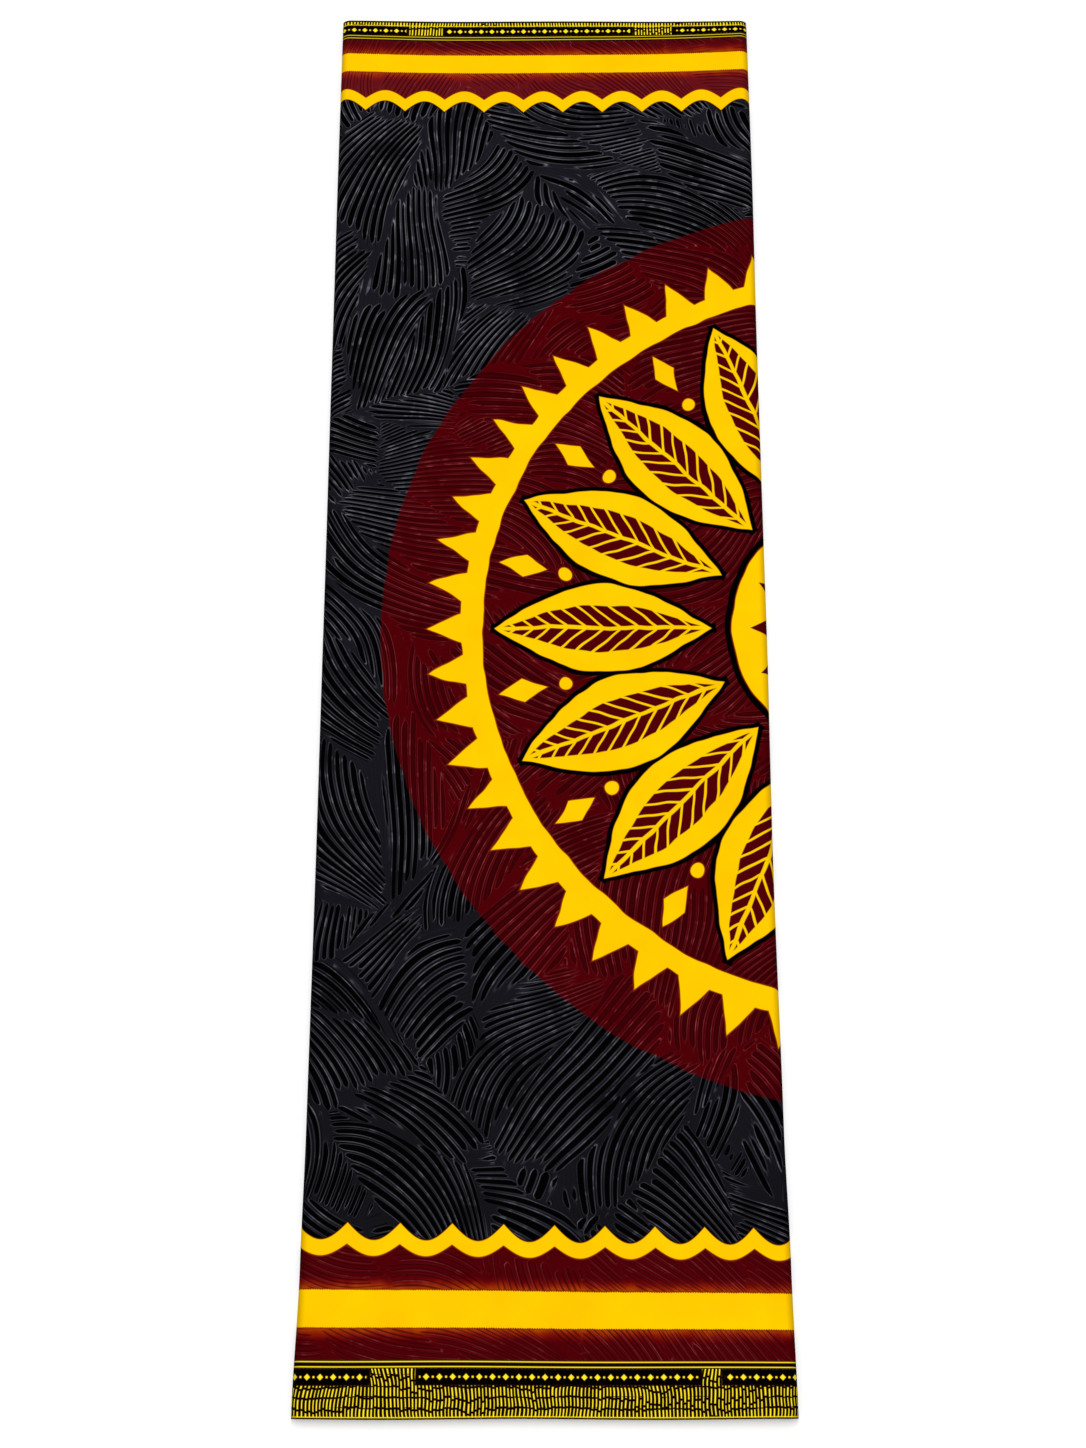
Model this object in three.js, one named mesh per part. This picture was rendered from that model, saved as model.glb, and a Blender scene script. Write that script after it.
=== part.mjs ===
// A six-yard length of wax printed cotton, wound flat into a pack that lies on its back.
// Millimetres. X runs across the pack, Y from selvedge to selvedge, and Z is up.
// The origin is the middle of the flat underside.

import * as THREE from 'three';

// Driving dimensions

const CLOTH_WIDTH = 1170; // selvedge to selvedge, which is the pack's length
const PACK_WIDTH = 352; // fold to fold, before the edges drift in and out
const WALL = 1; // the outer turn
const SEAM_GAP = 0.3; // between neighbouring pieces
const LAYER_PITCH = 0.56; // one hidden layer with the air under it
const FOLD_DEPTH = 7; // how far each fold rounds out past the flat faces
const CUT_END_X = 112; // where the cloth's outer end lies on the underside

// How far each hidden turn stops short of the selvedge, from the outermost turn to the middle one.
// Each turn is two layers.
const TURN_ENDS = [
  { near: 1.6, far: 2.2 },
  { near: 3.0, far: 1.4 },
  { near: 1.9, far: 3.1 },
  { near: 3.6, far: 2.0 },
  { near: 2.4, far: 3.4 },
  { near: 3.9, far: 2.6 },
  { near: 2.8, far: 3.8 },
];

// Sizes worked out from them

const HIDDEN_THICKNESS = 2 * TURN_ENDS.length * LAYER_PITCH;
const PACK_THICKNESS = HIDDEN_THICKNESS + 2 * (SEAM_GAP + WALL);
const HALF_THICKNESS = PACK_THICKNESS / 2;
const FLAT_HALF = PACK_WIDTH / 2 - FOLD_DEPTH;
const HALF_LENGTH = CLOTH_WIDTH / 2;
const CORE_INSET = WALL + SEAM_GAP;

// Mesh steps

const TOP_COLUMNS = 16;
const UNDER_COLUMNS = 8;
const TAIL_COLUMNS = 3;
const FOLD_STEPS = 8;
const STATIONS = 26;

// How far each side edge stands out from a straight one, from the near end to the far end.
const EDGE_DRIFT = [
  { y: -585, left: 3.1, right: 2.7 },
  { y: -480, left: 0.5, right: 1.3 },
  { y: -380, left: -0.5, right: -0.4 },
  { y: -190, left: -0.7, right: -1.4 },
  { y: 20, left: -0.2, right: 0 },
  { y: 250, left: 0.4, right: 0.3 },
  { y: 440, left: 0.9, right: 1.4 },
  { y: 585, left: 0.9, right: 1.1 },
];

// Soft troughs and ridges in the upper face. Heading is in degrees from the pack's length,
// reach and spread are half its length and half its breadth, and lift is below zero for a trough.
const CREASES = [
  { x: -96, y: -392, heading: 12, reach: 150, spread: 26, lift: -0.55 },
  { x: 74, y: -246, heading: -9, reach: 210, spread: 34, lift: 0.45 },
  { x: -48, y: -40, heading: 74, reach: 120, spread: 30, lift: -0.4 },
  { x: 104, y: 118, heading: 6, reach: 170, spread: 28, lift: -0.5 },
  { x: -112, y: 214, heading: -14, reach: 190, spread: 32, lift: 0.5 },
  { x: 22, y: 402, heading: 83, reach: 130, spread: 38, lift: -0.45 },
  { x: -70, y: 520, heading: 24, reach: 90, spread: 30, lift: 0.4 },
];

const MIDDLE_SINK = 0.9; // the pack is thinner between its springy folds
const RIPPLE_LIFT = 0.25;
const RIPPLE_LENGTH = 340;
const SELVEDGE_DRIFT = 0.7; // how far the outer turn's selvedge wanders
const SELVEDGE_WAVE = 190;

const CLOTH_ROUGHNESS = 0.62;
const COLOURS = {
  field: 0x17171d,
  border: 0xe8bd00,
  edge: 0x4f0a12,
};

// The soft form of the whole pack

function smoothStep(share) {
  return share * share * (3 - 2 * share);
}

function edgeDrift(y, side) {
  const next = EDGE_DRIFT.findIndex((row) => row.y > y);
  if (next < 0) {
    return EDGE_DRIFT.at(-1)[side];
  }
  const from = EDGE_DRIFT[Math.max(next - 1, 0)];
  const to = EDGE_DRIFT[next];
  const share = next === 0 ? 0 : (y - from.y) / (to.y - from.y);
  return from[side] + (to[side] - from[side]) * smoothStep(share);
}

function creaseLift(x, y) {
  let lift = 0;
  for (const crease of CREASES) {
    const turn = THREE.MathUtils.degToRad(crease.heading);
    const dx = x - crease.x;
    const dy = y - crease.y;
    const along = dy * Math.cos(turn) + dx * Math.sin(turn);
    const across = dx * Math.cos(turn) - dy * Math.sin(turn);
    lift += crease.lift * Math.exp(-((along / crease.reach) ** 2) - (across / crease.spread) ** 2);
  }
  return lift;
}

function heightShare(x, y) {
  const inward = Math.min(Math.abs(x) / FLAT_HALF, 1);
  const sink = -MIDDLE_SINK * (1 - inward * inward);
  const ripple = RIPPLE_LIFT * Math.sin((2 * Math.PI * (y + 0.6 * x)) / RIPPLE_LENGTH);
  return 1 + (sink + ripple + creaseLift(x, y)) / PACK_THICKNESS;
}

// Moves a point of the straight pack to where it lies in the soft one. The underside stays flat.
function settle(x, y, z) {
  const leftShare = smoothStep(Math.min(Math.max(-x / FLAT_HALF, 0), 1));
  const rightShare = smoothStep(Math.min(Math.max(x / FLAT_HALF, 0), 1));
  const shift = rightShare * edgeDrift(y, 'right') - leftShare * edgeDrift(y, 'left');
  return [x + shift, y, z * heightShare(x, y)];
}

// Sections across the straight pack. An inset of 0 is its outer surface.

function underPoint(x, inset) {
  return { x, z: inset };
}

function topPoint(x, inset) {
  return { x, z: PACK_THICKNESS - inset };
}

// Turn runs from -1 at the underside to 1 at the upper face, and side is -1 on the left.
function foldPoint(side, turn, inset) {
  const angle = (turn * Math.PI) / 2;
  return {
    x: side * (FLAT_HALF + (FOLD_DEPTH - inset) * Math.cos(angle)),
    z: HALF_THICKNESS + (HALF_THICKNESS - inset) * Math.sin(angle),
  };
}

function spaced(from, to, steps) {
  return Array.from({ length: steps + 1 }, (_, i) => from + ((to - from) * i) / steps);
}

function topSection(inset) {
  const edge = FLAT_HALF - SEAM_GAP;
  return spaced(-edge, edge, TOP_COLUMNS).map((x) => topPoint(x, inset));
}

function leftFoldSection(inset) {
  return spaced(-1, 1, FOLD_STEPS).map((turn) => foldPoint(-1, turn, inset));
}

function rightFoldSection(inset) {
  const round = spaced(1, -1, FOLD_STEPS).map((turn) => foldPoint(1, turn, inset));
  const tail = spaced(FLAT_HALF, CUT_END_X + SEAM_GAP, TAIL_COLUMNS).slice(1);
  return [...round, ...tail.map((x) => underPoint(x, inset))];
}

function underSection(inset) {
  const edge = -FLAT_HALF + SEAM_GAP;
  return spaced(CUT_END_X, edge, UNDER_COLUMNS).map((x) => underPoint(x, inset));
}

// The closed outline of the hidden turns, clockwise as seen from the near end.
function turnOutline(inset) {
  const left = spaced(-1, 1, FOLD_STEPS).map((turn) => foldPoint(-1, turn, inset));
  const right = spaced(1, -1, FOLD_STEPS).map((turn) => foldPoint(1, turn, inset));
  const top = spaced(-FLAT_HALF, FLAT_HALF, TOP_COLUMNS).slice(1, -1);
  const under = spaced(FLAT_HALF, -FLAT_HALF, UNDER_COLUMNS).slice(1, -1);
  return [
    ...left,
    ...top.map((x) => topPoint(x, inset)),
    ...right,
    ...under.map((x) => underPoint(x, inset)),
  ];
}

// Solids

function solidFrom(points, triangles) {
  const geometry = new THREE.BufferGeometry();
  geometry.setAttribute('position', new THREE.Float32BufferAttribute(points.flat(), 3));
  geometry.setIndex(triangles);
  geometry.computeVertexNormals();
  return geometry;
}

function selvedgeY(end, x) {
  const wander = Math.sin((2 * Math.PI * x) / SELVEDGE_WAVE + end);
  return end * (HALF_LENGTH - (SELVEDGE_DRIFT * (1 - wander)) / 2);
}

// A wall of cloth that follows one section from the near selvedge to the far one.
function wallAlong(section) {
  const faces = [section(0), section(WALL)];
  const columns = faces[0].length;
  const points = [];
  for (const face of faces) {
    for (const share of spaced(0, 1, STATIONS)) {
      for (const { x, z } of face) {
        const y = selvedgeY(-1, x) * (1 - share) + selvedgeY(1, x) * share;
        points.push(settle(x, y, z));
      }
    }
  }
  const inner = (STATIONS + 1) * columns;
  const at = (station, column) => station * columns + column;
  const triangles = [];
  const quad = (a, b, c, d) => triangles.push(a, b, c, a, c, d);
  for (let j = 0; j < STATIONS; j += 1) {
    for (let i = 0; i < columns - 1; i += 1) {
      quad(at(j, i), at(j, i + 1), at(j + 1, i + 1), at(j + 1, i));
      quad(inner + at(j, i), inner + at(j + 1, i), inner + at(j + 1, i + 1), inner + at(j, i + 1));
    }
    const end = columns - 1;
    quad(at(j, 0), at(j + 1, 0), inner + at(j + 1, 0), inner + at(j, 0));
    quad(at(j, end), inner + at(j, end), inner + at(j + 1, end), at(j + 1, end));
  }
  for (let i = 0; i < columns - 1; i += 1) {
    quad(at(0, i), inner + at(0, i), inner + at(0, i + 1), at(0, i + 1));
    const far = STATIONS;
    quad(at(far, i), at(far, i + 1), inner + at(far, i + 1), inner + at(far, i));
  }
  return solidFrom(points, triangles);
}

// The rings that the hidden turns' solid is lofted through: out over the near end's steps,
// along the pack, and in again over the far end's steps.
function hiddenTurnRings() {
  const inward = TURN_ENDS.map((ends, turn) => ({ ...ends, inset: CORE_INSET + turn * LAYER_PITCH }));
  const nearY = (ends) => -HALF_LENGTH + ends.near;
  const farY = (ends) => HALF_LENGTH - ends.far;
  const rings = [];
  for (let turn = inward.length - 1; turn >= 0; turn -= 1) {
    const outer = inward[turn - 1];
    rings.push({ inset: inward[turn].inset, y: nearY(inward[turn]) });
    if (outer) {
      rings.push({ inset: inward[turn].inset, y: nearY(outer) });
    }
  }
  const along = spaced(nearY(inward[0]), farY(inward[0]), STATIONS).slice(1, -1);
  rings.push(...along.map((y) => ({ inset: inward[0].inset, y })));
  for (let turn = 0; turn < inward.length; turn += 1) {
    const inner = inward[turn + 1];
    rings.push({ inset: inward[turn].inset, y: farY(inward[turn]) });
    if (inner) {
      rings.push({ inset: inner.inset, y: farY(inward[turn]) });
    }
  }
  return rings;
}

function hiddenTurns() {
  const rings = hiddenTurnRings();
  const points = [];
  for (const { inset, y } of rings) {
    for (const { x, z } of turnOutline(inset)) {
      points.push(settle(x, y, z));
    }
  }
  const around = turnOutline(CORE_INSET).length;
  const triangles = [];
  for (let j = 0; j < rings.length - 1; j += 1) {
    for (let i = 0; i < around; i += 1) {
      const next = (i + 1) % around;
      const a = j * around + i;
      const b = j * around + next;
      triangles.push(a, b, b + around, a, b + around, a + around);
    }
  }
  const middle = turnOutline(CORE_INSET + (TURN_ENDS.length - 1) * LAYER_PITCH);
  const contour = middle.map(({ x, z }) => new THREE.Vector2(x, z));
  const farStart = (rings.length - 1) * around;
  for (const [a, b, c] of THREE.ShapeUtils.triangulateShape(contour, [])) {
    triangles.push(a, b, c);
    triangles.push(farStart + a, farStart + c, farStart + b);
  }
  return solidFrom(points, triangles);
}

// The pack

const pack = new THREE.Group();

function addCloth(name, geometry, color) {
  const material = new THREE.MeshStandardMaterial({ color, roughness: CLOTH_ROUGHNESS, metalness: 0 });
  const mesh = new THREE.Mesh(geometry, material);
  mesh.name = name;
  pack.add(mesh);
}

addCloth('top_stretch', wallAlong(topSection), COLOURS.field);
addCloth('left_fold', wallAlong(leftFoldSection), COLOURS.edge);
addCloth('right_fold', wallAlong(rightFoldSection), COLOURS.edge);
addCloth('under_stretch', wallAlong(underSection), COLOURS.field);
addCloth('inner_layers', hiddenTurns(), COLOURS.border);

export default pack;
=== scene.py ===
"""A six-yard length of wax print cotton, wound flat into a pack that lies on a pale floor.

Metres. X runs across the pack, Y from the near selvedge to the far one, and Z is up.
The cloth is one strip: u is how far along it a point lies from its outer cut end, and v is how far
across it from the near selvedge. The shapes and the print are both worked out from u and v.
"""

import math

import bpy
import numpy as np
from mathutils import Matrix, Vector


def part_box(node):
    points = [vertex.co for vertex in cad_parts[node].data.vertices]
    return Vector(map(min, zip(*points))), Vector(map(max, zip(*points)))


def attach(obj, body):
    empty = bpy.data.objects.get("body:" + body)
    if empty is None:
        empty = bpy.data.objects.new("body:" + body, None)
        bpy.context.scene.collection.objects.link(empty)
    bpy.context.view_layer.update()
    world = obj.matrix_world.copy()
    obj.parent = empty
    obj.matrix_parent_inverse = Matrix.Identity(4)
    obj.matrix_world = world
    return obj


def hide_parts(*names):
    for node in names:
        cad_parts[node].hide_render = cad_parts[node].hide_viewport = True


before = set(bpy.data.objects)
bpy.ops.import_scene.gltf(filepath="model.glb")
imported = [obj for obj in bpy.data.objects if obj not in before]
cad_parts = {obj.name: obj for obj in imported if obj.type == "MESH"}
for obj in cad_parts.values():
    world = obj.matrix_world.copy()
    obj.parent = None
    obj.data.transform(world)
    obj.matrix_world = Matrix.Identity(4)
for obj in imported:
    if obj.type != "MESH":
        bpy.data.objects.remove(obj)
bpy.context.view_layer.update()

MM = 0.001

# The cloth and the pack, as in the part's source

CLOTH_LENGTH = 5.486
CLOTH_WIDTH = 1.17
CLOTH_THICKNESS = 0.42 * MM
TURN_PITCH = 0.6 * MM
PACK_WIDTH = 352 * MM
PACK_THICKNESS = 10.44 * MM
FOLD_DEPTH = 7 * MM
CUT_END_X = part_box("under_stretch")[1].x

HALF_THICKNESS = PACK_THICKNESS / 2
FLAT_HALF = PACK_WIDTH / 2 - FOLD_DEPTH
HALF_LENGTH = CLOTH_WIDTH / 2

# How far each side edge stands out from a straight one: y, left and right in millimetres.
EDGE_DRIFT = np.array([
    [-585, 3.1, 2.7],
    [-480, 0.5, 1.3],
    [-380, -0.5, -0.4],
    [-190, -0.7, -1.4],
    [20, -0.2, 0],
    [250, 0.4, 0.3],
    [440, 0.9, 1.4],
    [585, 0.9, 1.1],
])

# Soft troughs and ridges in the upper face, in millimetres and degrees from the pack's length.
CREASES = [
    {"x": -96, "y": -392, "heading": 12, "reach": 150, "spread": 26, "lift": -0.55},
    {"x": 74, "y": -246, "heading": -9, "reach": 210, "spread": 34, "lift": 0.45},
    {"x": -48, "y": -40, "heading": 74, "reach": 120, "spread": 30, "lift": -0.4},
    {"x": 104, "y": 118, "heading": 6, "reach": 170, "spread": 28, "lift": -0.5},
    {"x": -112, "y": 214, "heading": -14, "reach": 190, "spread": 32, "lift": 0.5},
    {"x": 22, "y": 402, "heading": 83, "reach": 130, "spread": 38, "lift": -0.45},
    {"x": -70, "y": 520, "heading": 24, "reach": 90, "spread": 30, "lift": 0.4},
]

# Finer creases that the part's source leaves out.
FINE_CREASES = [
    {"x": -150, "y": -470, "heading": 38, "reach": 60, "spread": 9, "lift": -0.22},
    {"x": 148, "y": -350, "heading": -31, "reach": 70, "spread": 10, "lift": -0.25},
    {"x": -138, "y": -150, "heading": 52, "reach": 48, "spread": 8, "lift": 0.2},
    {"x": 30, "y": -180, "heading": 88, "reach": 95, "spread": 13, "lift": -0.2},
    {"x": 152, "y": 10, "heading": -44, "reach": 55, "spread": 9, "lift": 0.22},
    {"x": -60, "y": 95, "heading": 16, "reach": 120, "spread": 12, "lift": -0.2},
    {"x": 128, "y": 290, "heading": 33, "reach": 66, "spread": 10, "lift": -0.22},
    {"x": -146, "y": 395, "heading": -36, "reach": 58, "spread": 9, "lift": -0.24},
    {"x": 60, "y": 500, "heading": -63, "reach": 62, "spread": 11, "lift": 0.2},
    {"x": -10, "y": -520, "heading": 79, "reach": 80, "spread": 12, "lift": 0.2},
]

MIDDLE_SINK = 0.9 * MM
RIPPLE_LIFT = 0.25 * MM
RIPPLE_LENGTH = 340 * MM
SELVEDGE_DRIFT = 0.7 * MM
SELVEDGE_WAVE = 190 * MM

# Mesh steps

ROW_STEP = 6 * MM
TOP_STEP = 4 * MM
UNDER_STEP = 8 * MM
FOLD_STEPS = 16
RAMP_LENGTH = 14 * MM
RAMP_STEPS = 8
INNER_ROWS = 40
INNER_END_ROWS = (0, 0.004, 0.012, 0.03)
INNER_MIDDLE = 0.05
INNER_FLAT_STEPS = 12
INNER_FOLD_STEPS = 8


# The soft form of the whole pack, which is the part's own


def smooth_step(share):
    share = np.clip(share, 0, 1)
    return share * share * (3 - 2 * share)


def edge_drift(y, side):
    """How far the left (1) or right (2) edge stands out at each y."""
    places = EDGE_DRIFT[:, 0] * MM
    index = np.clip(np.searchsorted(places, y, side="right") - 1, 0, len(places) - 2)
    share = smooth_step((y - places[index]) / (places[index + 1] - places[index]))
    low, high = EDGE_DRIFT[index, side], EDGE_DRIFT[index + 1, side]
    return (low + (high - low) * share) * MM


def crease_lift(x, y, creases):
    """How far the creases lift each point: a long smooth hump or trough for each of them."""
    lift = np.zeros_like(x)
    for crease in creases:
        turn = math.radians(crease["heading"])
        dx, dy = x / MM - crease["x"], y / MM - crease["y"]
        along = dy * math.cos(turn) + dx * math.sin(turn)
        across = dx * math.cos(turn) - dy * math.sin(turn)
        fall = (along / crease["reach"]) ** 2 + (across / crease["spread"]) ** 2
        lift += crease["lift"] * np.exp(-fall)
    return lift * MM


def height_share(x, y):
    """The pack's height at each point, as a share of its named thickness."""
    inward = np.minimum(np.abs(x) / FLAT_HALF, 1)
    sink = -MIDDLE_SINK * (1 - inward * inward)
    ripple = RIPPLE_LIFT * np.sin(2 * np.pi * (y + 0.6 * x) / RIPPLE_LENGTH)
    lift = crease_lift(x, y, CREASES) + crease_lift(x, y, FINE_CREASES)
    return 1 + (sink + ripple + lift) / PACK_THICKNESS


def settle(x, y, z):
    """Moves points of the straight pack to where they lie in the soft one. The underside stays flat."""
    left = smooth_step(-x / FLAT_HALF) * edge_drift(y, 1)
    right = smooth_step(x / FLAT_HALF) * edge_drift(y, 2)
    return np.stack([x + right - left, y, z * height_share(x, y)], axis=-1)


# The strip's path round the pack, seen from the near end


def under_x(share):
    """Where a share of the way from the right fold to the left one is, on the flat underside."""
    return FLAT_HALF * (1 - 2 * share)


def turn_of(x):
    """The turn value of a place on the underside."""
    return (FLAT_HALF - x) / (2 * FLAT_HALF)


def path_point(turn, inset):
    """A point of the strip's path. Turn grows by 4 in each turn round the pack: 0 to 1 is the underside,
    1 to 2 the left fold, 2 to 3 the upper face and 3 to 4 the right fold."""
    quarter, share = turn // 1 % 4, turn % 1
    if quarter == 0:
        return under_x(share), inset
    if quarter == 2:
        return -under_x(share), PACK_THICKNESS - inset
    side, angle = (-1, share - 0.5) if quarter == 1 else (1, 0.5 - share)
    x = side * (FLAT_HALF + (FOLD_DEPTH - inset) * math.cos(angle * math.pi))
    return x, HALF_THICKNESS + (HALF_THICKNESS - inset) * math.sin(angle * math.pi)


CUT_TURN = turn_of(CUT_END_X)
RAMP_TURN = RAMP_LENGTH / (2 * FLAT_HALF)


def inset_at(turn):
    """Each turn steps in by one pitch just before it passes over the strip's outer end."""
    whole, part = divmod(turn - CUT_TURN, 4)
    step = 0 if part < 4 - RAMP_TURN else smooth_step((part - 4 + RAMP_TURN) / RAMP_TURN)
    return TURN_PITCH * (whole + float(step))


def spaced(start, end, step):
    """Evenly spaced values from start to end, about one step apart."""
    return list(np.linspace(start, end, max(2, round(abs(end - start) / step) + 1)))


def outer_turns():
    """The turn values of the outer turn's columns, as {stretch: list}. Neighbours share a column."""
    flat = 2 * FLAT_HALF
    tail_end = 4 + CUT_TURN - RAMP_TURN
    fold = 1 / FOLD_STEPS
    level = spaced(4, tail_end, UNDER_STEP / flat)[1:]
    ramp = spaced(tail_end, 4 + CUT_TURN, RAMP_TURN / RAMP_STEPS)[1:]
    return {
        "under_stretch": spaced(CUT_TURN, 1, UNDER_STEP / flat),
        "left_fold": spaced(1, 2, fold),
        "top_stretch": spaced(2, 3, TOP_STEP / flat),
        "right_fold": spaced(3, 4, fold) + level + ramp,
    }


def inner_turns(start_u):
    """The turn values from the end of the outer turn to the strip's inner end."""
    turns = [4 + CUT_TURN]
    left_over = CLOTH_LENGTH - start_u
    while left_over > 0:
        turn = turns[-1]
        steps = INNER_FLAT_STEPS if int(turn % 4) % 2 == 0 else INNER_FOLD_STEPS
        after = math.floor(turn * steps + 1e-6 + 1) / steps
        here, there = (np.array(path_point(t, inset_at(t))) for t in (turn, after))
        turns.append(after)
        left_over -= float(np.linalg.norm(there - here))
    return turns


def path_arrays(turns):
    """Outer and inner points of the strip's section, and how far along the strip each column lies."""
    outer = np.array([path_point(t, inset_at(t)) for t in turns])
    inner = np.array([path_point(t, inset_at(t) + CLOTH_THICKNESS) for t in turns])
    steps = np.linalg.norm(np.diff((outer + inner) / 2, axis=0), axis=1)
    return outer, inner, np.concatenate([[0], np.cumsum(steps)])


# Meshes of the strip


def selvedge_wander(x, end):
    """How far the outer turn's selvedge draws in across the pack, at the near (-1) or far (1) end."""
    return SELVEDGE_DRIFT * (1 - np.sin(2 * np.pi * x / SELVEDGE_WAVE + end)) / 2


# How far the hidden turns stop short of the selvedges: three waves along the strip, in metres.
HIDDEN_ENDS = {
    -1: {"mean": 1.9 * MM, "swing": (0.7 * MM, 0.5 * MM, 0.25 * MM), "wave": (0.93, 0.31, 0.118)},
    1: {"mean": 2.0 * MM, "swing": (0.75 * MM, 0.45 * MM, 0.3 * MM), "wave": (1.07, 0.27, 0.104)},
}


def hidden_recess(u, end):
    row = HIDDEN_ENDS[end]
    swings = zip(row["swing"], row["wave"])
    return row["mean"] + sum(swing * np.sin(2 * np.pi * u / wave + end) for swing, wave in swings)


def strip_grid(section, shares, recess):
    """Points of one face of the strip: a row for each share of its width, a column for each path point."""
    x = section[:, 0]
    near = -HALF_LENGTH + recess[-1]
    far = HALF_LENGTH - recess[1]
    y = near[None, :] * (1 - shares[:, None]) + far[None, :] * shares[:, None]
    grid_x = np.broadcast_to(x, y.shape)
    grid_z = np.broadcast_to(section[:, 1], y.shape)
    return settle(grid_x, y, grid_z)


def grid_normals(grid):
    along = np.gradient(grid, axis=1)
    across = np.gradient(grid, axis=0)
    normal = np.cross(along, across)
    return normal / np.linalg.norm(normal, axis=-1, keepdims=True)


# Bands of the print drift across the cloth a little, as the photo shows. Depths are from the band's own
# selvedge. The drift dies out over DRIFT_FADE beyond each border.
DRIFT_FADE = 400 * MM
NEAR_DEPTH = 150 * MM
NEAR_SHIFT = -0.15 * MM
NEAR_TILT = 0.0232
NEAR_TILT_START = 20 * MM
NEAR_TILT_SPAN = 105 * MM
NEAR_WAVE = 0.35 * MM
NEAR_WAVE_LENGTH = 1.08
FAR_START = 16 * MM
FAR_DEPTH = 120 * MM
FAR_BOW = 2.4 * MM
FAR_TILT = 1.33 * MM
FAR_TILT_DEPTH = 50 * MM
FAR_TILT_FADE = 60 * MM


def print_v(x, shares):
    """How far across the print a point lies. Its bands run a little out of true with the selvedges."""
    side = np.clip(x / FLAT_HALF, -1, 1)[None, :]
    v = shares[:, None] * CLOTH_WIDTH
    near = 1 - smooth_step((v - NEAR_DEPTH) / DRIFT_FADE)
    tilt = NEAR_TILT * np.clip(v - NEAR_TILT_START, 0, NEAR_TILT_SPAN)
    wave = NEAR_WAVE * np.cos(2 * np.pi * side / NEAR_WAVE_LENGTH) * smooth_step(v / NEAR_TILT_START)
    depth = CLOTH_WIDTH - v
    far = smooth_step(depth / FAR_START) * (1 - smooth_step((depth - FAR_DEPTH) / DRIFT_FADE))
    far_tilt = FAR_TILT * (1 - smooth_step((depth - FAR_TILT_DEPTH) / FAR_TILT_FADE))
    near_drift = NEAR_SHIFT + tilt * side + wave
    far_drift = FAR_BOW * (0.5 - side * side) - far_tilt * side
    return v + near_drift * near + far_drift * far


def strip_faces(rows, columns):
    """Faces of a closed thin strip: outer points first, then inner ones. Returns the faces, of which the
    outer side's come first, then the inner side's and the rims', and how many each side has."""
    outer = np.arange(rows * columns).reshape(rows, columns)
    inner = outer + rows * columns

    def quads(a, b, c, d):
        return np.stack([a.ravel(), b.ravel(), c.ravel(), d.ravel()], axis=1)

    sides = [
        quads(outer[:-1, :-1], outer[:-1, 1:], outer[1:, 1:], outer[1:, :-1]),
        quads(inner[:-1, :-1], inner[1:, :-1], inner[1:, 1:], inner[:-1, 1:]),
    ]
    rims = [
        quads(outer[:-1, 0], outer[1:, 0], inner[1:, 0], inner[:-1, 0]),
        quads(outer[:-1, -1], inner[:-1, -1], inner[1:, -1], outer[1:, -1]),
        quads(outer[0, :-1], inner[0, :-1], inner[0, 1:], outer[0, 1:]),
        quads(outer[-1, :-1], outer[-1, 1:], inner[-1, 1:], inner[-1, :-1]),
    ]
    return np.concatenate(sides + rims), len(sides[0])


# The bake map, in shares of its width: the gap round each strip, and how much of it the outer faces take.
BAKE_EDGE = 0.008
BAKE_FACE = 0.93
BAKE_CELL = 0.8


def bake_places(rows, columns, cuts, cut_rows):
    """The outer faces' corners in the bake map. Its rows or columns are cut into strips, side by side."""
    row, column = np.meshgrid(np.arange(rows - 1), np.arange(columns - 1), indexing="ij")
    corner_row = row[..., None] + np.array([0, 0, 1, 1])
    corner_column = column[..., None] + np.array([0, 1, 1, 0])
    if cut_rows:
        cell, along, side = row, corner_row, corner_column / (columns - 1)
    else:
        cell, along, side = column, corner_column, corner_row / (rows - 1)
    strip_length = math.ceil((cell.max() + 1) / cuts)
    strip = (cell // strip_length)[..., None]
    width = BAKE_FACE / cuts
    x = BAKE_EDGE + strip * width + side * (width - BAKE_EDGE)
    y = BAKE_EDGE + (along / strip_length - strip) * (1 - 2 * BAKE_EDGE)
    return np.stack([x, y], axis=-1).reshape(-1, 4, 2)


def hidden_places(count):
    """Small cells beside those strips, one for each face of the inner side and the rims."""
    wide, tall = 1 - BAKE_FACE - 2 * BAKE_EDGE, 1 - 2 * BAKE_EDGE
    across = max(1, math.ceil(math.sqrt(count * wide / tall)))
    down = math.ceil(count / across)
    index = np.arange(count)
    cell = np.array([wide / across, tall / down])
    start = np.array([BAKE_FACE + BAKE_EDGE, BAKE_EDGE])
    low = np.stack([index % across, index // across], axis=-1) * cell + start
    corner = np.array([[0, 0], [1, 0], [1, 1], [0, 1]]) * BAKE_CELL * cell
    return low[:, None, :] + corner[None, :, :]


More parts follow.
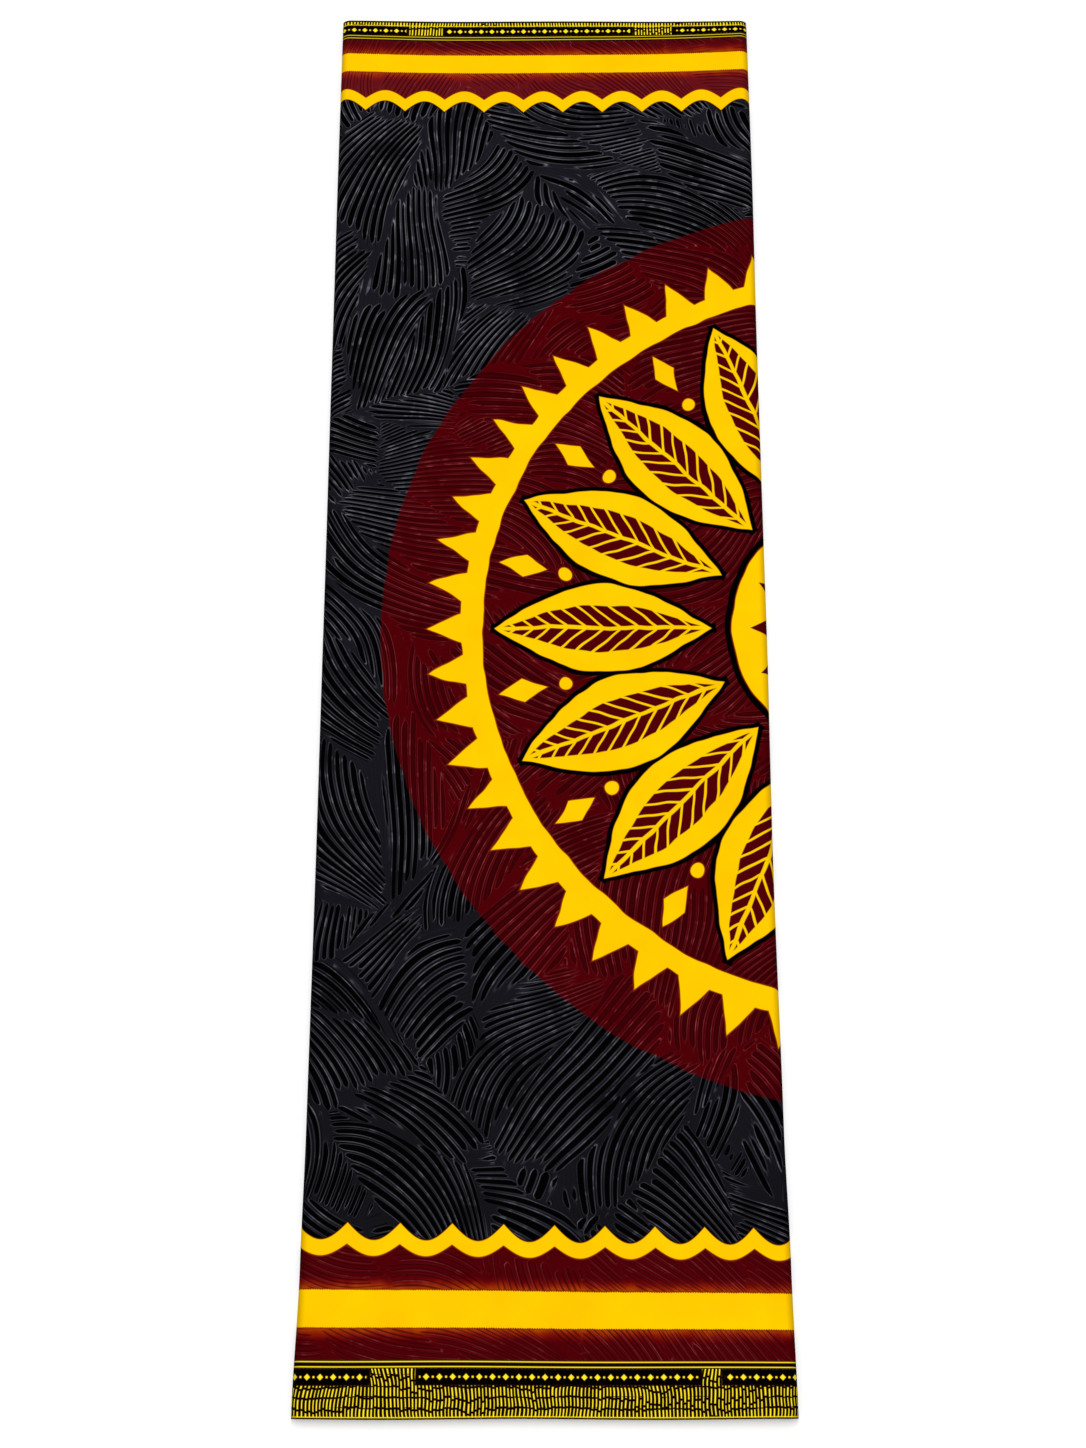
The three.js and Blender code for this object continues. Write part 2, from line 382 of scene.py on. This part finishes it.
def make_strip(name, outer, inner, normals, u, v, cuts, cut_rows):
    """A closed thin mesh of a stretch of the cloth, with its print map and its bake map."""
    rows, columns = outer.shape[:2]
    faces, side_count = strip_faces(rows, columns)
    smooth_count = 2 * side_count
    mesh = bpy.data.meshes.new(name)
    points = np.concatenate([outer.reshape(-1, 3), inner.reshape(-1, 3)])
    mesh.from_pydata(points.tolist(), [], faces.tolist())
    corners = faces.ravel()
    place = np.stack([np.broadcast_to(u, (rows, columns)), v], axis=-1).reshape(-1, 2)
    print_map = mesh.uv_layers.new(name="print")
    print_map.data.foreach_set("uv", np.concatenate([place, place])[corners].astype(np.float32).ravel())
    shown_places = bake_places(rows, columns, cuts, cut_rows)
    bake = np.concatenate([shown_places, hidden_places(len(faces) - side_count)])
    bake_map = mesh.uv_layers.new(name="OFBake")
    bake_map.data.foreach_set("uv", bake.astype(np.float32).ravel())
    mesh.polygons.foreach_set("use_smooth", np.arange(len(faces)) < smooth_count)
    shading = np.concatenate([normals.reshape(-1, 3), -normals.reshape(-1, 3)])[corners]
    shading[4 * smooth_count:] = 0
    mesh.normals_split_custom_set(shading.tolist())
    piece = bpy.data.objects.new(name, mesh)
    bpy.context.scene.collection.objects.link(piece)
    return piece


# How each piece is cut up in its bake map.
BAKE_CUTS = {
    "under_stretch": {"cuts": 2, "cut_rows": True},
    "left_fold": {"cuts": 8, "cut_rows": True},
    "top_stretch": {"cuts": 2, "cut_rows": True},
    "right_fold": {"cuts": 4, "cut_rows": True},
    "inner_turns": {"cuts": 6, "cut_rows": False},
}


def make_outer_turn():
    """The four stretches of the outer turn, cut from one continuous sheet. Returns each with its length,
    how far along the cloth the turn ends, and how far along the middle of the upper face lies."""
    stretches = outer_turns()
    turns = [stretches["under_stretch"][0]]
    spans = {}
    for name, stretch in stretches.items():
        spans[name] = slice(len(turns) - 1, len(turns) + len(stretch) - 1)
        turns += stretch[1:]
    outer_path, inner_path, u = path_arrays(turns)
    shares = np.linspace(0, 1, round(CLOTH_WIDTH / ROW_STEP) + 1)
    recess = {end: selvedge_wander(outer_path[:, 0], end) for end in (-1, 1)}
    outer = strip_grid(outer_path, shares, recess)
    inner = strip_grid(inner_path, shares, recess)
    normals = grid_normals(outer)
    v = print_v(outer_path[:, 0], shares)
    pieces = {}
    for name, cut in spans.items():
        shape = (outer[:, cut], inner[:, cut], normals[:, cut])
        piece = make_strip(name + "_cloth", *shape, u[cut], v[:, cut], **BAKE_CUTS[name])
        pieces[name] = (piece, float(u[cut][-1] - u[cut][0]))
    top_u = u[spans["top_stretch"]]
    return pieces, float(u[-1]), float(top_u[0] + top_u[-1]) / 2


def make_inner_turns(start_u):
    """The hidden turns, wound on from the end of the outer one, and their length."""
    turns = inner_turns(start_u)
    outer_path, inner_path, u = path_arrays(turns)
    end_rows = np.array(INNER_END_ROWS)
    middle_rows = np.linspace(INNER_MIDDLE, 1 - INNER_MIDDLE, INNER_ROWS - 2 * len(end_rows))
    shares = np.concatenate([end_rows, middle_rows, 1 - end_rows[::-1]])
    recess = {end: hidden_recess(u, end) for end in (-1, 1)}
    outer = strip_grid(outer_path, shares, recess)
    inner = strip_grid(inner_path, shares, recess)
    v = np.broadcast_to(shares[:, None] * CLOTH_WIDTH, outer.shape[:2])
    shape = (outer, inner, grid_normals(outer))
    piece = make_strip("inner_turns_cloth", *shape, u + start_u, v, **BAKE_CUTS["inner_turns"])
    return piece, float(u[-1])


# Shader sums


class Value:
    """A shader node's output. Sums on it add further nodes."""

    def __init__(self, tree, socket):
        self.tree = tree
        self.socket = socket

    def sum_node(self, operation, *others):
        node = self.tree.nodes.new("ShaderNodeMath")
        node.operation = operation
        for slot, value in zip(node.inputs, (self, *others)):
            feed(self.tree, slot, value)
        return Value(self.tree, node.outputs[0])

    def __add__(self, other):
        return self.sum_node("ADD", other)

    def __mul__(self, other):
        return self.sum_node("MULTIPLY", other)

    def __sub__(self, other):
        return self.sum_node("SUBTRACT", other)

    def __truediv__(self, other):
        return self.sum_node("DIVIDE", other)

    def __rsub__(self, other):
        return self.sum_node("MULTIPLY_ADD", -1, other)

    def __neg__(self):
        return self.sum_node("MULTIPLY", -1)

    def __abs__(self):
        return self.sum_node("ABSOLUTE")

    __radd__ = __add__
    __rmul__ = __mul__

    def low(self, other):
        return self.sum_node("MINIMUM", other)

    def high(self, other):
        return self.sum_node("MAXIMUM", other)

    def sin(self):
        return self.sum_node("SINE")

    def cos(self):
        return self.sum_node("COSINE")

    def floor(self):
        return self.sum_node("FLOOR")

    def share(self):
        return self.sum_node("FRACT")

    def wrap(self, span):
        """The value moved by whole spans until it lies within half a span of 0."""
        return self.sum_node("WRAP", span / 2, -span / 2)

    def soft(self, blur=0.5):
        """1 where the value is well above 0 and 0 where it is well below."""
        node = self.tree.nodes.new("ShaderNodeMath")
        node.operation = "MULTIPLY_ADD"
        node.use_clamp = True
        feed(self.tree, node.inputs[0], self)
        node.inputs[1].default_value = 1 / blur
        node.inputs[2].default_value = 0.5
        return Value(self.tree, node.outputs[0])


def feed(tree, slot, value):
    if isinstance(value, Value):
        tree.links.new(value.socket, slot)
    else:
        slot.default_value = value


def vector(tree, x, y, z=0.0):
    node = tree.nodes.new("ShaderNodeCombineXYZ")
    for slot, value in zip(node.inputs, (x, y, z)):
        feed(tree, slot, value)
    return Value(tree, node.outputs[0])


def parts_of(tree, value):
    node = tree.nodes.new("ShaderNodeSeparateXYZ")
    feed(tree, node.inputs[0], value)
    return [Value(tree, output) for output in node.outputs]


def noise(tree, place, size, detail=1.0, output=0):
    """Smooth noise from 0 to 1, with lumps about as big as size. Output 1 is a colour of three of them."""
    node = tree.nodes.new("ShaderNodeTexNoise")
    node.noise_dimensions = "2D"
    feed(tree, node.inputs["Vector"], place)
    node.inputs["Scale"].default_value = 1 / size
    node.inputs["Detail"].default_value = detail
    return Value(tree, node.outputs[output])


def cells(tree, place, feature):
    node = tree.nodes.new("ShaderNodeTexVoronoi")
    node.voronoi_dimensions = "2D"
    node.feature = feature
    feed(tree, node.inputs["Vector"], place)
    node.inputs["Scale"].default_value = 1
    node.inputs["Randomness"].default_value = HATCH["randomness"]
    return node


def chance(tree, x, y=0.0):
    """An even random number from 0 to 1 for each whole x and y."""
    node = tree.nodes.new("ShaderNodeTexWhiteNoise")
    node.noise_dimensions = "2D"
    feed(tree, node.inputs["Vector"], vector(tree, x, y))
    return Value(tree, node.outputs[0])


def mixed(tree, share, first, second):
    """First where share is 0 and second where it is 1. Each is a colour or an output."""
    node = tree.nodes.new("ShaderNodeMix")
    node.data_type = "RGBA"
    feed(tree, node.inputs[0], share)
    for slot, colour in ((node.inputs[6], first), (node.inputs[7], second)):
        feed(tree, slot, colour if isinstance(colour, Value) else (*colour, 1.0))
    return Value(tree, node.outputs[2])


def shade(code):
    """The linear colour of a six-figure screen colour."""
    parts = [int(code[i:i + 2], 16) / 255 for i in (0, 2, 4)]
    return tuple(c / 12.92 if c <= 0.04045 else ((c + 0.055) / 1.055) ** 2.4 for c in parts)


# The print, in millimetres. A pair is for the near and the far border, and depths are from its selvedge.

PRINT_WIDTH = 1170
PRINT_MIDDLE = PRINT_WIDTH / 2

BORDER = {
    "lines": ((34.95, 15.3), (38.4, 17.9), (-5, 4.6)),
    "line_half": (0.52, 0.42),
    "panel": (28.1, 9.6),
    "panel_half": (5.8, 4.3),
    "panel_gaps": (
        {"middle": (-105.9, -103.2), "half": (15.6, 14.5)},
        {"middle": (116.1, 93.6), "half": (6.7, 16.7)},
    ),
    "panel_span": 310.6,
    "black_end": (39.7, 19.6),
    "stripe": (74.2, 43.1),
    "stripe_half": (12.9, 9.2),
    "scallop_low": (110.35, 71.1),
    "scallop_low_rise": (8.4, 8.7),
    "scallop_high": (121.45, 81.8),
    "scallop_high_rise": (12.3, 10.5),
    "scallop_pitch": (36.53, 33.85),
    "scallop_start": (2.1, 15.6),
    "scallop_bow": (4.8, 0),
    "reach": 150,
}

# The bars along the selvedges: their spacing, how high a row of them is, and how wide the joint is.
BARS = {
    "pitch": 2.55,
    "row": 7.4,
    "joint": 0.75,
    "lean_start": 12,
    "hem": 1.05,
    "hem_half": 0.45,
}

# The row of lozenges and dots on each dark panel.
BEADS = {
    "pitch": 9.2,
    "lozenge": 2.3,
    "dot": 0.75,
}

# Regions and patches are cells this big, bent by slow and quick noise. Lengths beside them are the strokes'
# own: how far off their root lies, their spacing, half width and taper, and the pale lines along them.
HATCH = {
    "region": 290,
    "patch": (132, 53),
    "randomness": 0.9,
    "warp": 36,
    "warp_size": 190,
    "wobble": 20,
    "wobble_size": 62,
    "skew": 1.0,
    "root": 165,
    "root_spread": 240,
    "bend": 0.014,
    "shake": 1.4,
    "pitch": 6,
    "margin_spread": 7,
    "taper": 1.5,
    "stroke_half": 1.65,
    "line_offset": 0.65,
    "line_half": 0.3,
    "back_line": 0.35,
    "fine": 0.33,
    "light_size": 34,
    "fleck_size": 11,
}

# Radii and half widths of the round motif, whose centre is at x and v and which repeats every span.
ROSETTE = {
    "x": 250,
    "v": 598,
    "span": 880,
    "radius": 380,
    "teeth": 56,
    "teeth_low": 312,
    "teeth_high": 344,
    "ring": 308,
    "ring_half": 8.5,
    "leaves": 16,
    "leaf_low": 118,
    "leaf_high": 290,
    "leaf_half": 37.5,
    "leaf_red": 0.56,
    "vein_pitch": 14,
    "vein_half": 1.4,
    "lozenge": 272,
    "lozenge_half": 19,
    "bead": 238,
    "bead_half": 5.4,
    "centre": 102,
    "petals": 14,
    "petal": 66,
    "petal_half": 11,
    "eye": 24,
    "eye_half": 6,
    "outline": 1.6,
}

INK = {
    "slate": shade("0e0e13"),
    # The lighter slate serves both a random mottle and a painted sheen that lightens the slate towards the
    # far end.
    "slate_tone_and_sheen": shade("1a1a20"),
    "black": shade("000000"),
    "line": shade("4c4c56"),
    # Painted sheen: the far pale line and the two far maroons are lighter tones standing for light glancing
    # off the far end of the pack.
    "pale_line_sheen": shade("70707a"),
    "maroon": shade("480005"),
    "maroon_sheen_outer": shade("4e050b"),
    "maroon_sheen_inner": shade("5e0f15"),
    "maroon_deep": shade("2c0003"),
    "maroon_line": shade("a04448"),
    "fade": shade("a80303"),
    "fade_orange": shade("a84400"),
    "yellow": shade("f6c600"),
    "yellow_deep": shade("eab400"),
    "yellow_pale": shade("f6dc24"),
    "orange": shade("b06400"),
    "olive": shade("584800"),
    "fringe": shade("1c0503"),
    "fringe_red": shade("701a02"),
    "thread": shade("6e5c30"),
}

# The near scallops bow sideways in the middle of the upper face, and are true again this far from it.
BOW_REACH = 178

# Shade is painted into the print round each fold, where the cloth turns away from the light: how far the
# fold's middle lies from the middle of the upper face, how far the painted shade reaches and how dark it
# is.
FOLD_REACH = 178.3
FOLD_SHADE = 8
FOLD_PAINTED_SHADE = 0.5

# The stripe's edge is notched this finely.
COMB_PITCH = 1.7

# How far the warmer red spreads from the stripe, and where the painted sheen on the far border's maroon
# starts.
FADE_REACH = 11.5
FAR_SHEEN_START = 1000

WEAVE_PITCH = 0.7


def place_in_border(v):
    """How deep a point lies from its nearer selvedge, and 1 or 0 for the far border or the near one."""
    return v.low(PRINT_WIDTH - v), (v - PRINT_MIDDLE).soft(1)


def pick(far, pair):
    return far * (pair[1] - pair[0]) + pair[0]


def border_print(tree, x, v):
    """The border along either selvedge. Returns how far inside its yellow, maroon and stripe points are."""
    depth, far = place_in_border(v)

    def named(name):
        return pick(far, BORDER[name])

    bow = (1 - x * x / BOW_REACH ** 2).high(0) * named("scallop_bow")
    turn = (x - bow - named("scallop_start")) / named("scallop_pitch") * math.pi
    rise = 1 - abs(turn.sin())
    low = depth - named("scallop_low") - rise * named("scallop_low_rise")
    high = named("scallop_high") + rise * named("scallop_high_rise") - depth
    stripe = named("stripe_half") - abs(depth - named("stripe"))
    rough = (noise(tree, vector(tree, x, depth), 5) - 0.5) * 0.5
    comb = (x * (2 * math.pi / COMB_PITCH)).sin() * 0.25 + rough
    yellow = (low.low(high) * 0.85).high(stripe + comb)
    for line in BORDER["lines"]:
        yellow = yellow.high(named("line_half") - abs(depth - pick(far, line)))
    panel = None
    for gap in BORDER["panel_gaps"]:
        away = abs((x - pick(far, gap["middle"])).wrap(BORDER["panel_span"])) - pick(far, gap["half"])
        panel = away if panel is None else panel.low(away)
    panel = panel.low(named("panel_half") - abs(depth - named("panel")))
    bars = selvedge_bars(tree, x, depth, far).low(-panel)
    bars = bars.low(named("panel") + named("panel_half") - depth)
    beads = panel_beads(x, depth - named("panel")).low(panel - 2.5)
    yellow = yellow.high(bars).high(beads)
    maroon = (depth - named("black_end")).low(high - 4)
    return yellow, maroon, stripe


def selvedge_bars(tree, x, depth, far):
    """Short upright bars in rows that break unevenly, like bricks on end."""
    along = vector(tree, x, 0.0)
    zone = vector(tree, x, (depth / BARS["row"]).floor() * 50)
    lean = (noise(tree, vector(tree, x, depth * 2.2), 70) - 0.5) * 0.7
    across = (x + lean * (depth - BARS["lean_start"])) / BARS["pitch"] + noise(tree, along, 14) * 0.9
    bar = across.floor()
    loose = ((noise(tree, zone, 34) - 0.42) * 22).high(0.8)
    wander = (noise(tree, along, 36) - 0.5) * 5
    row = (depth + wander + chance(tree, bar) * loose) / BARS["row"]
    joint = (abs(row.share() - 0.5) - 0.5) * BARS["row"] + BARS["joint"]
    half = 0.36 + chance(tree, bar, row.floor()) * 0.24 + far * 0.1
    bars = (half - abs(across.share() - 0.5) * BARS["pitch"]).low(-joint) * 1.7
    hem = BARS["hem_half"] - abs(depth - BARS["hem"]) - far
    # Painted shade: nothing yellow is drawn in the last 0.5 to 0.6 mm of the near selvedge, so a thin black
    # line stands for the shadowed end face of the pack.
    return bars.low(depth - 0.5 - far).high(hem)


def panel_beads(x, height):
    """A plain row of lozenges and dots."""
    along = abs(x.wrap(BEADS["pitch"]))
    lozenge = (BEADS["lozenge"] - (along + abs(height))) * 0.7
    dot = BEADS["dot"] - abs(along - BEADS["pitch"] / 2).high(abs(height))
    return lozenge.high(dot) * 1.5


def hatch(tree, x, v):
    """Curved strokes in patches that meet at odd angles, finer ones for maroon, and the pale lines.

    Large cells turn the cloth's axes by a random angle. Long patches lie along the turned axes, and each
    patch's strokes fan out of a root point beyond one of its ends.
    """
    ground = vector(tree, x, v)
    slow = parts_of(tree, noise(tree, ground, HATCH["warp_size"], output=1))
    quick = parts_of(tree, noise(tree, ground, HATCH["wobble_size"], output=1))
    across = x + (slow[0] - 0.5) * HATCH["warp"]
    along = v + (slow[1] - 0.5) * HATCH["warp"]
    edge_across = across + (quick[0] - 0.5) * HATCH["wobble"]
    edge_along = along + (quick[1] - 0.5) * HATCH["wobble"]

    region_size = HATCH["region"]
    place = vector(tree, edge_across / region_size, edge_along / region_size)
    region = cells(tree, place, "F1")
    region_edge = Value(tree, cells(tree, place, "DISTANCE_TO_EDGE").outputs["Distance"]) * region_size
    lay = parts_of(tree, Value(tree, region.outputs["Color"]))[0] * (2 * math.pi)
    cos, sin = lay.cos(), lay.sin()

    def turned(a, b):
        return a * cos + b * sin, b * cos - a * sin

    length, breadth = HATCH["patch"]
    edge_run, edge_side = turned(edge_across, edge_along)
    place = vector(tree, edge_run / length, edge_side / breadth)
    patch = cells(tree, place, "F1")
    patch_edge = Value(tree, cells(tree, place, "DISTANCE_TO_EDGE").outputs["Distance"]) * breadth
    first, second, third = parts_of(tree, Value(tree, patch.outputs["Color"]))
    middle = parts_of(tree, Value(tree, patch.outputs["Position"]))
    run, side = turned(across, along)
    run = run - middle[0] * length
    side = side - middle[1] * breadth
    skew = (first - 0.5) * HATCH["skew"] + (second * 31).share().sum_node("ROUND") * math.pi
    cos, sin = skew.cos(), skew.sin()
    run, side = turned(run, side)

    root = third * third * HATCH["root_spread"] + HATCH["root"]
    out = run + root
    bend = (second - 0.5) * HATCH["bend"]
    widen = (out * out + side * side).sum_node("SQRT") / root
    pitch = widen * HATCH["pitch"]
    fan = side.sum_node("ARCTAN2", out) * root
    stroke = (fan + bend * run * run + quick[2] * HATCH["shake"]) / HATCH["pitch"] + third * 7
    odd = chance(tree, stroke.floor(), first * 97)
    reach = patch_edge.low(region_edge) - odd * odd * odd * HATCH["margin_spread"]
    taper = (reach / HATCH["taper"]).high(0).low(1).sum_node("SQRT")
    away = (stroke.share() - 0.5) * pitch
    weight = (odd * 13).share() * 0.5 + 0.72
    half = taper * widen.low(1.25) * weight * HATCH["stroke_half"]
    between = (widen - 1.28 - odd * 0.2).soft(0.4) * taper * 1.1 - (pitch * 0.5 - abs(away))
    dark = (half - abs(away)).high(between).soft(0.5)
    fine_away = ((stroke * 2).share() - 0.5) * pitch * 0.5
    fine = (half * HATCH["fine"] - abs(fine_away)).soft(0.5)
    edge = abs(away) - half - HATCH["line_offset"]
    front = away.soft(1) * (1 - HATCH["back_line"]) + HATCH["back_line"]
    pale = (HATCH["line_half"] - abs(edge)).soft(0.5) * (reach + 0.6).soft(1.6) * front
    light = noise(tree, ground, HATCH["light_size"], detail=2.0) * 1.7 - 0.45
    fleck = ((noise(tree, ground, HATCH["fleck_size"], detail=2.0) - 0.58) * 7).high(0)
    return dark, fine, pale * (light + fleck)


def rosette(tree, x, v):
    """A round motif of leaves. Returns how far inside its disc, yellow, red and black a point is."""
    wobble = parts_of(tree, noise(tree, vector(tree, x, v), 26, output=1))
    dx = (x - ROSETTE["x"]).wrap(ROSETTE["span"]) + (wobble[0] - 0.5) * 4
    dy = v - ROSETTE["v"] + (wobble[1] - 0.5) * 4
    radius = (dx * dx + dy * dy).sum_node("SQRT")
    angle = dy.sum_node("ARCTAN2", dx)

    def sector(count, start=0.0):
        return (angle + start).wrap(2 * math.pi / count)

    middle = (ROSETTE["teeth_low"] + ROSETTE["teeth_high"]) / 2
    tooth = 2 * math.pi * middle / ROSETTE["teeth"]
    tall = ROSETTE["teeth_high"] - ROSETTE["teeth_low"]
    up = (radius - ROSETTE["teeth_low"]) / tall
    teeth = 0.42 * tooth * (1 - up) - abs(sector(ROSETTE["teeth"])) * middle
    teeth = teeth.low(radius - ROSETTE["teeth_low"]) * 0.8
    ring = ROSETTE["ring_half"] - abs(radius - ROSETTE["ring"])

    leaf_angle = sector(ROSETTE["leaves"])
    out = radius * leaf_angle.cos()
    side = abs(radius * leaf_angle.sin())
    length = ROSETTE["leaf_high"] - ROSETTE["leaf_low"]
    share = (out - ROSETTE["leaf_low"]) / length
    swell = (share.high(0).low(1) * math.pi).sin()
    inside = (0.5 - abs(share - 0.5)) * length
    leaf = ((swell * ROSETTE["leaf_half"] - side) * 0.8).low(inside)
    heart = (swell * (ROSETTE["leaf_red"] * ROSETTE["leaf_half"]) - side - 1.5) * 0.8
    vein_gap = abs(((out - side * 1.2) / ROSETTE["vein_pitch"]).share() - 0.5) * ROSETTE["vein_pitch"]
    vein = ROSETTE["vein_half"] - vein_gap
    rib = ROSETTE["outline"] - side
    red = heart.low(-rib.high(vein))

    gap_angle = sector(ROSETTE["leaves"], math.pi / ROSETTE["leaves"])
    gap_out = radius * gap_angle.cos()
    gap_side = abs(radius * gap_angle.sin())
    lozenge = (ROSETTE["lozenge_half"] - abs(gap_out - ROSETTE["lozenge"])) * 0.5 - gap_side
    bead_out = gap_out - ROSETTE["bead"]
    bead = ROSETTE["bead_half"] - (bead_out * bead_out + gap_side * gap_side).sum_node("SQRT")

    core = ROSETTE["centre"] - radius
    core_angle = sector(ROSETTE["petals"])
    core_out = radius * core_angle.cos()
    core_side = abs(radius * core_angle.sin())
    petal = (ROSETTE["petal_half"] - abs(core_out - ROSETTE["petal"]) * 0.5) * 0.9 - core_side
    eye = ROSETTE["eye_half"] - abs(radius - ROSETTE["eye"])
    yellow = teeth.high(ring).high(leaf).high(lozenge).high(bead).high(core)
    red = red.high(petal).high(eye)
    black = (ROSETTE["outline"] - abs(leaf + ROSETTE["outline"])).high(2.4 - abs(core + 3.4))
    return ROSETTE["radius"] - radius, yellow, red, black


def new_material(name):
    material = bpy.data.materials.new(name)
    material.use_nodes = True
    tree = material.node_tree
    shader = tree.nodes["Principled BSDF"]
    return material, tree, shader


def print_material(name, middle_u, whole):
    """The printed cotton. The hidden turns show only their borders, so they leave out the rosette."""
    material, tree, shader = new_material(name)
    source = tree.nodes.new("ShaderNodeUVMap")
    source.uv_map = "print"
    u, v, _ = parts_of(tree, Value(tree, source.outputs[0]))
    x = (u - middle_u) * 1000
    v = v * 1000
    place = vector(tree, x, v)

    yellow, maroon, stripe = border_print(tree, x, v)
    dark, fine, pale = hatch(tree, x, v)
    if whole:
        disc, yellow_motif, red, black = rosette(tree, x, v)
        maroon = maroon.high(disc)
        yellow = yellow.high(yellow_motif)
    depth, far = place_in_border(v)
    red_ground = maroon.soft(1.4)
    selvedge = (pick(far, BORDER["black_end"]) - depth).soft(0.6)

    cloudy = noise(tree, place, 60, detail=3.0)
    # Painted sheen: the slate and the pale lines grow lighter from the near selvedge to the far one.
    far_sheen_share = (v / PRINT_WIDTH).high(0).low(1)
    slate = mixed(tree, cloudy * 0.5 + far_sheen_share * 0.6 - 0.1, INK["slate"], INK["slate_tone_and_sheen"])
    # Painted sheen: the far border's maroon is lighter, and lighter still on the inner side of its stripe.
    far_maroon_sheen = mixed(tree, (depth - BORDER["stripe"][1]).soft(8), INK["maroon_sheen_outer"], INK["maroon_sheen_inner"])
    maroon_and_sheen = mixed(tree, (v - FAR_SHEEN_START).soft(40), INK["maroon"], far_maroon_sheen)
    ground = mixed(tree, red_ground, slate, maroon_and_sheen)
    near_stripe = ((stripe + noise(tree, place, 12) * 5) / FADE_REACH + 0.75).high(0).low(1)
    near_stripe = near_stripe * near_stripe
    fade = mixed(tree, near_stripe, INK["fade"], INK["fade_orange"])
    ground = mixed(tree, near_stripe * red_ground, ground, fade)
    stroke_ink = mixed(tree, red_ground, INK["black"], INK["maroon_deep"])
    slate_line = mixed(tree, far_sheen_share, INK["line"], INK["pale_line_sheen"])
    line_ink = mixed(tree, red_ground, slate_line, INK["maroon_line"])
    band = red_ground * (BORDER["reach"] - depth).soft(4)
    on_disc = (dark * 0.65 + fine * 0.45) * (1 - band)
    on_band = fine * 0.7 * band
    stroke = dark * (1 - red_ground) + (on_disc + on_band) * red_ground
    colour = mixed(tree, stroke, ground, stroke_ink)
    colour = mixed(tree, pale * (1 - red_ground * 0.6 - band * 0.15), colour, line_ink)
    colour = mixed(tree, selvedge, colour, INK["black"])
    fringe = mixed(tree, red_ground, INK["fringe"], INK["fringe_red"])
    colour = mixed(tree, (yellow + 0.8).soft(0.8), colour, fringe)
    bright = mixed(tree, noise(tree, place, 40, detail=3.0), INK["yellow_deep"], INK["yellow"])
    bright = mixed(tree, selvedge, bright, INK["yellow_pale"])
    rim = mixed(tree, selvedge, INK["orange"], INK["olive"])
    colour = mixed(tree, (yellow + 0.1).soft(0.5), colour, rim)
    colour = mixed(tree, (yellow - 0.2).soft(0.4), colour, bright)
    if whole:
        colour = mixed(tree, red.soft(0.6), colour, INK["maroon"])
        colour = mixed(tree, black.soft(0.6), colour, INK["black"])
        # Painted shade: black is mixed into the print round the middle of each fold.
        fold = 1 - (abs(abs(x) - FOLD_REACH) / FOLD_SHADE).low(1)
        colour = mixed(tree, fold * FOLD_PAINTED_SHADE, colour, INK["black"])
    else:
        colour = mixed(tree, (0.7 - depth).soft(0.3), colour, INK["thread"])
    tree.links.new(colour.socket, shader.inputs["Base Color"])

    weave = (x * (2 * math.pi / WEAVE_PITCH)).sin() * (v * (2 * math.pi / WEAVE_PITCH)).sin()
    height = weave * 0.06 - stroke * 0.35 + pale * 0.5
    bump = tree.nodes.new("ShaderNodeBump")
    bump.inputs["Strength"].default_value = 0.15
    bump.inputs["Distance"].default_value = 0.3 * MM
    tree.links.new(height.socket, bump.inputs["Height"])
    tree.links.new(bump.outputs[0], shader.inputs["Normal"])
    shader.inputs["Roughness"].default_value = 0.5
    shader.inputs["Specular IOR Level"].default_value = 0.004
    return material


def floor_material():
    material, tree, shader = new_material("studio_floor")
    place = tree.nodes.new("ShaderNodeTexCoord")
    cloudy = noise(tree, Value(tree, place.outputs["Object"]), 0.7)
    colour = mixed(tree, cloudy, (0.93, 0.93, 0.93), (0.95, 0.95, 0.95))
    tree.links.new(colour.socket, shader.inputs["Base Color"])
    shader.inputs["Roughness"].default_value = 0.9
    shader.inputs["Specular IOR Level"].default_value = 0.1
    return material


# The pack, placed on its frame

outer_pieces, outer_u, middle_u = make_outer_turn()
inner_piece, inner_u = make_inner_turns(outer_u)
outer_print = print_material("wax_print", middle_u, whole=True)
inner_print = print_material("wax_print_inside", middle_u, whole=False)

for name, (piece, length) in outer_pieces.items():
    piece.data.materials.append(outer_print)
    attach(piece, "root")
    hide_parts(name)
inner_piece.data.materials.append(inner_print)
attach(inner_piece, "root")
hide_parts("inner_layers")

# The studio

bpy.ops.mesh.primitive_plane_add(size=12)
floor = bpy.context.object
floor.name = "studio_floor"
floor.data.materials.append(floor_material())

world = bpy.data.worlds.new("studio")
bpy.context.scene.world = world
world.use_nodes = True
sky = world.node_tree.nodes["Background"]
sky.inputs["Color"].default_value = (1, 1, 1, 1)
sky.inputs["Strength"].default_value = 0.6


def strip_light(name, place, size, power):
    """A long light that shines straight down, with its long side along the pack."""
    data = bpy.data.lights.new(name, "AREA")
    data.shape = "RECTANGLE"
    data.size, data.size_y = size
    data.energy = power
    light = bpy.data.objects.new(name, data)
    light.location = place
    bpy.context.scene.collection.objects.link(light)


strip_light("key", (-0.05, 0.1, 3.4), (0.4, 3.4), 80)

# The photo's viewpoint, worked out from the outline's corners, with its tilt from straight down.
CAMERA_LENS = 55
CAMERA_PLACE = (-1.45 * MM, -635.43 * MM, 1637.94 * MM)
CAMERA_TILT = 19.2268

camera_data = bpy.data.cameras.new("camera")
camera_data.lens = CAMERA_LENS
camera = bpy.data.objects.new("camera", camera_data)
camera.location = CAMERA_PLACE
camera.rotation_euler = (math.radians(CAMERA_TILT), 0, 0)
bpy.context.scene.collection.objects.link(camera)
bpy.context.scene.camera = camera
bpy.context.scene.view_settings.view_transform = "Standard"

bpy.context.view_layer.update()
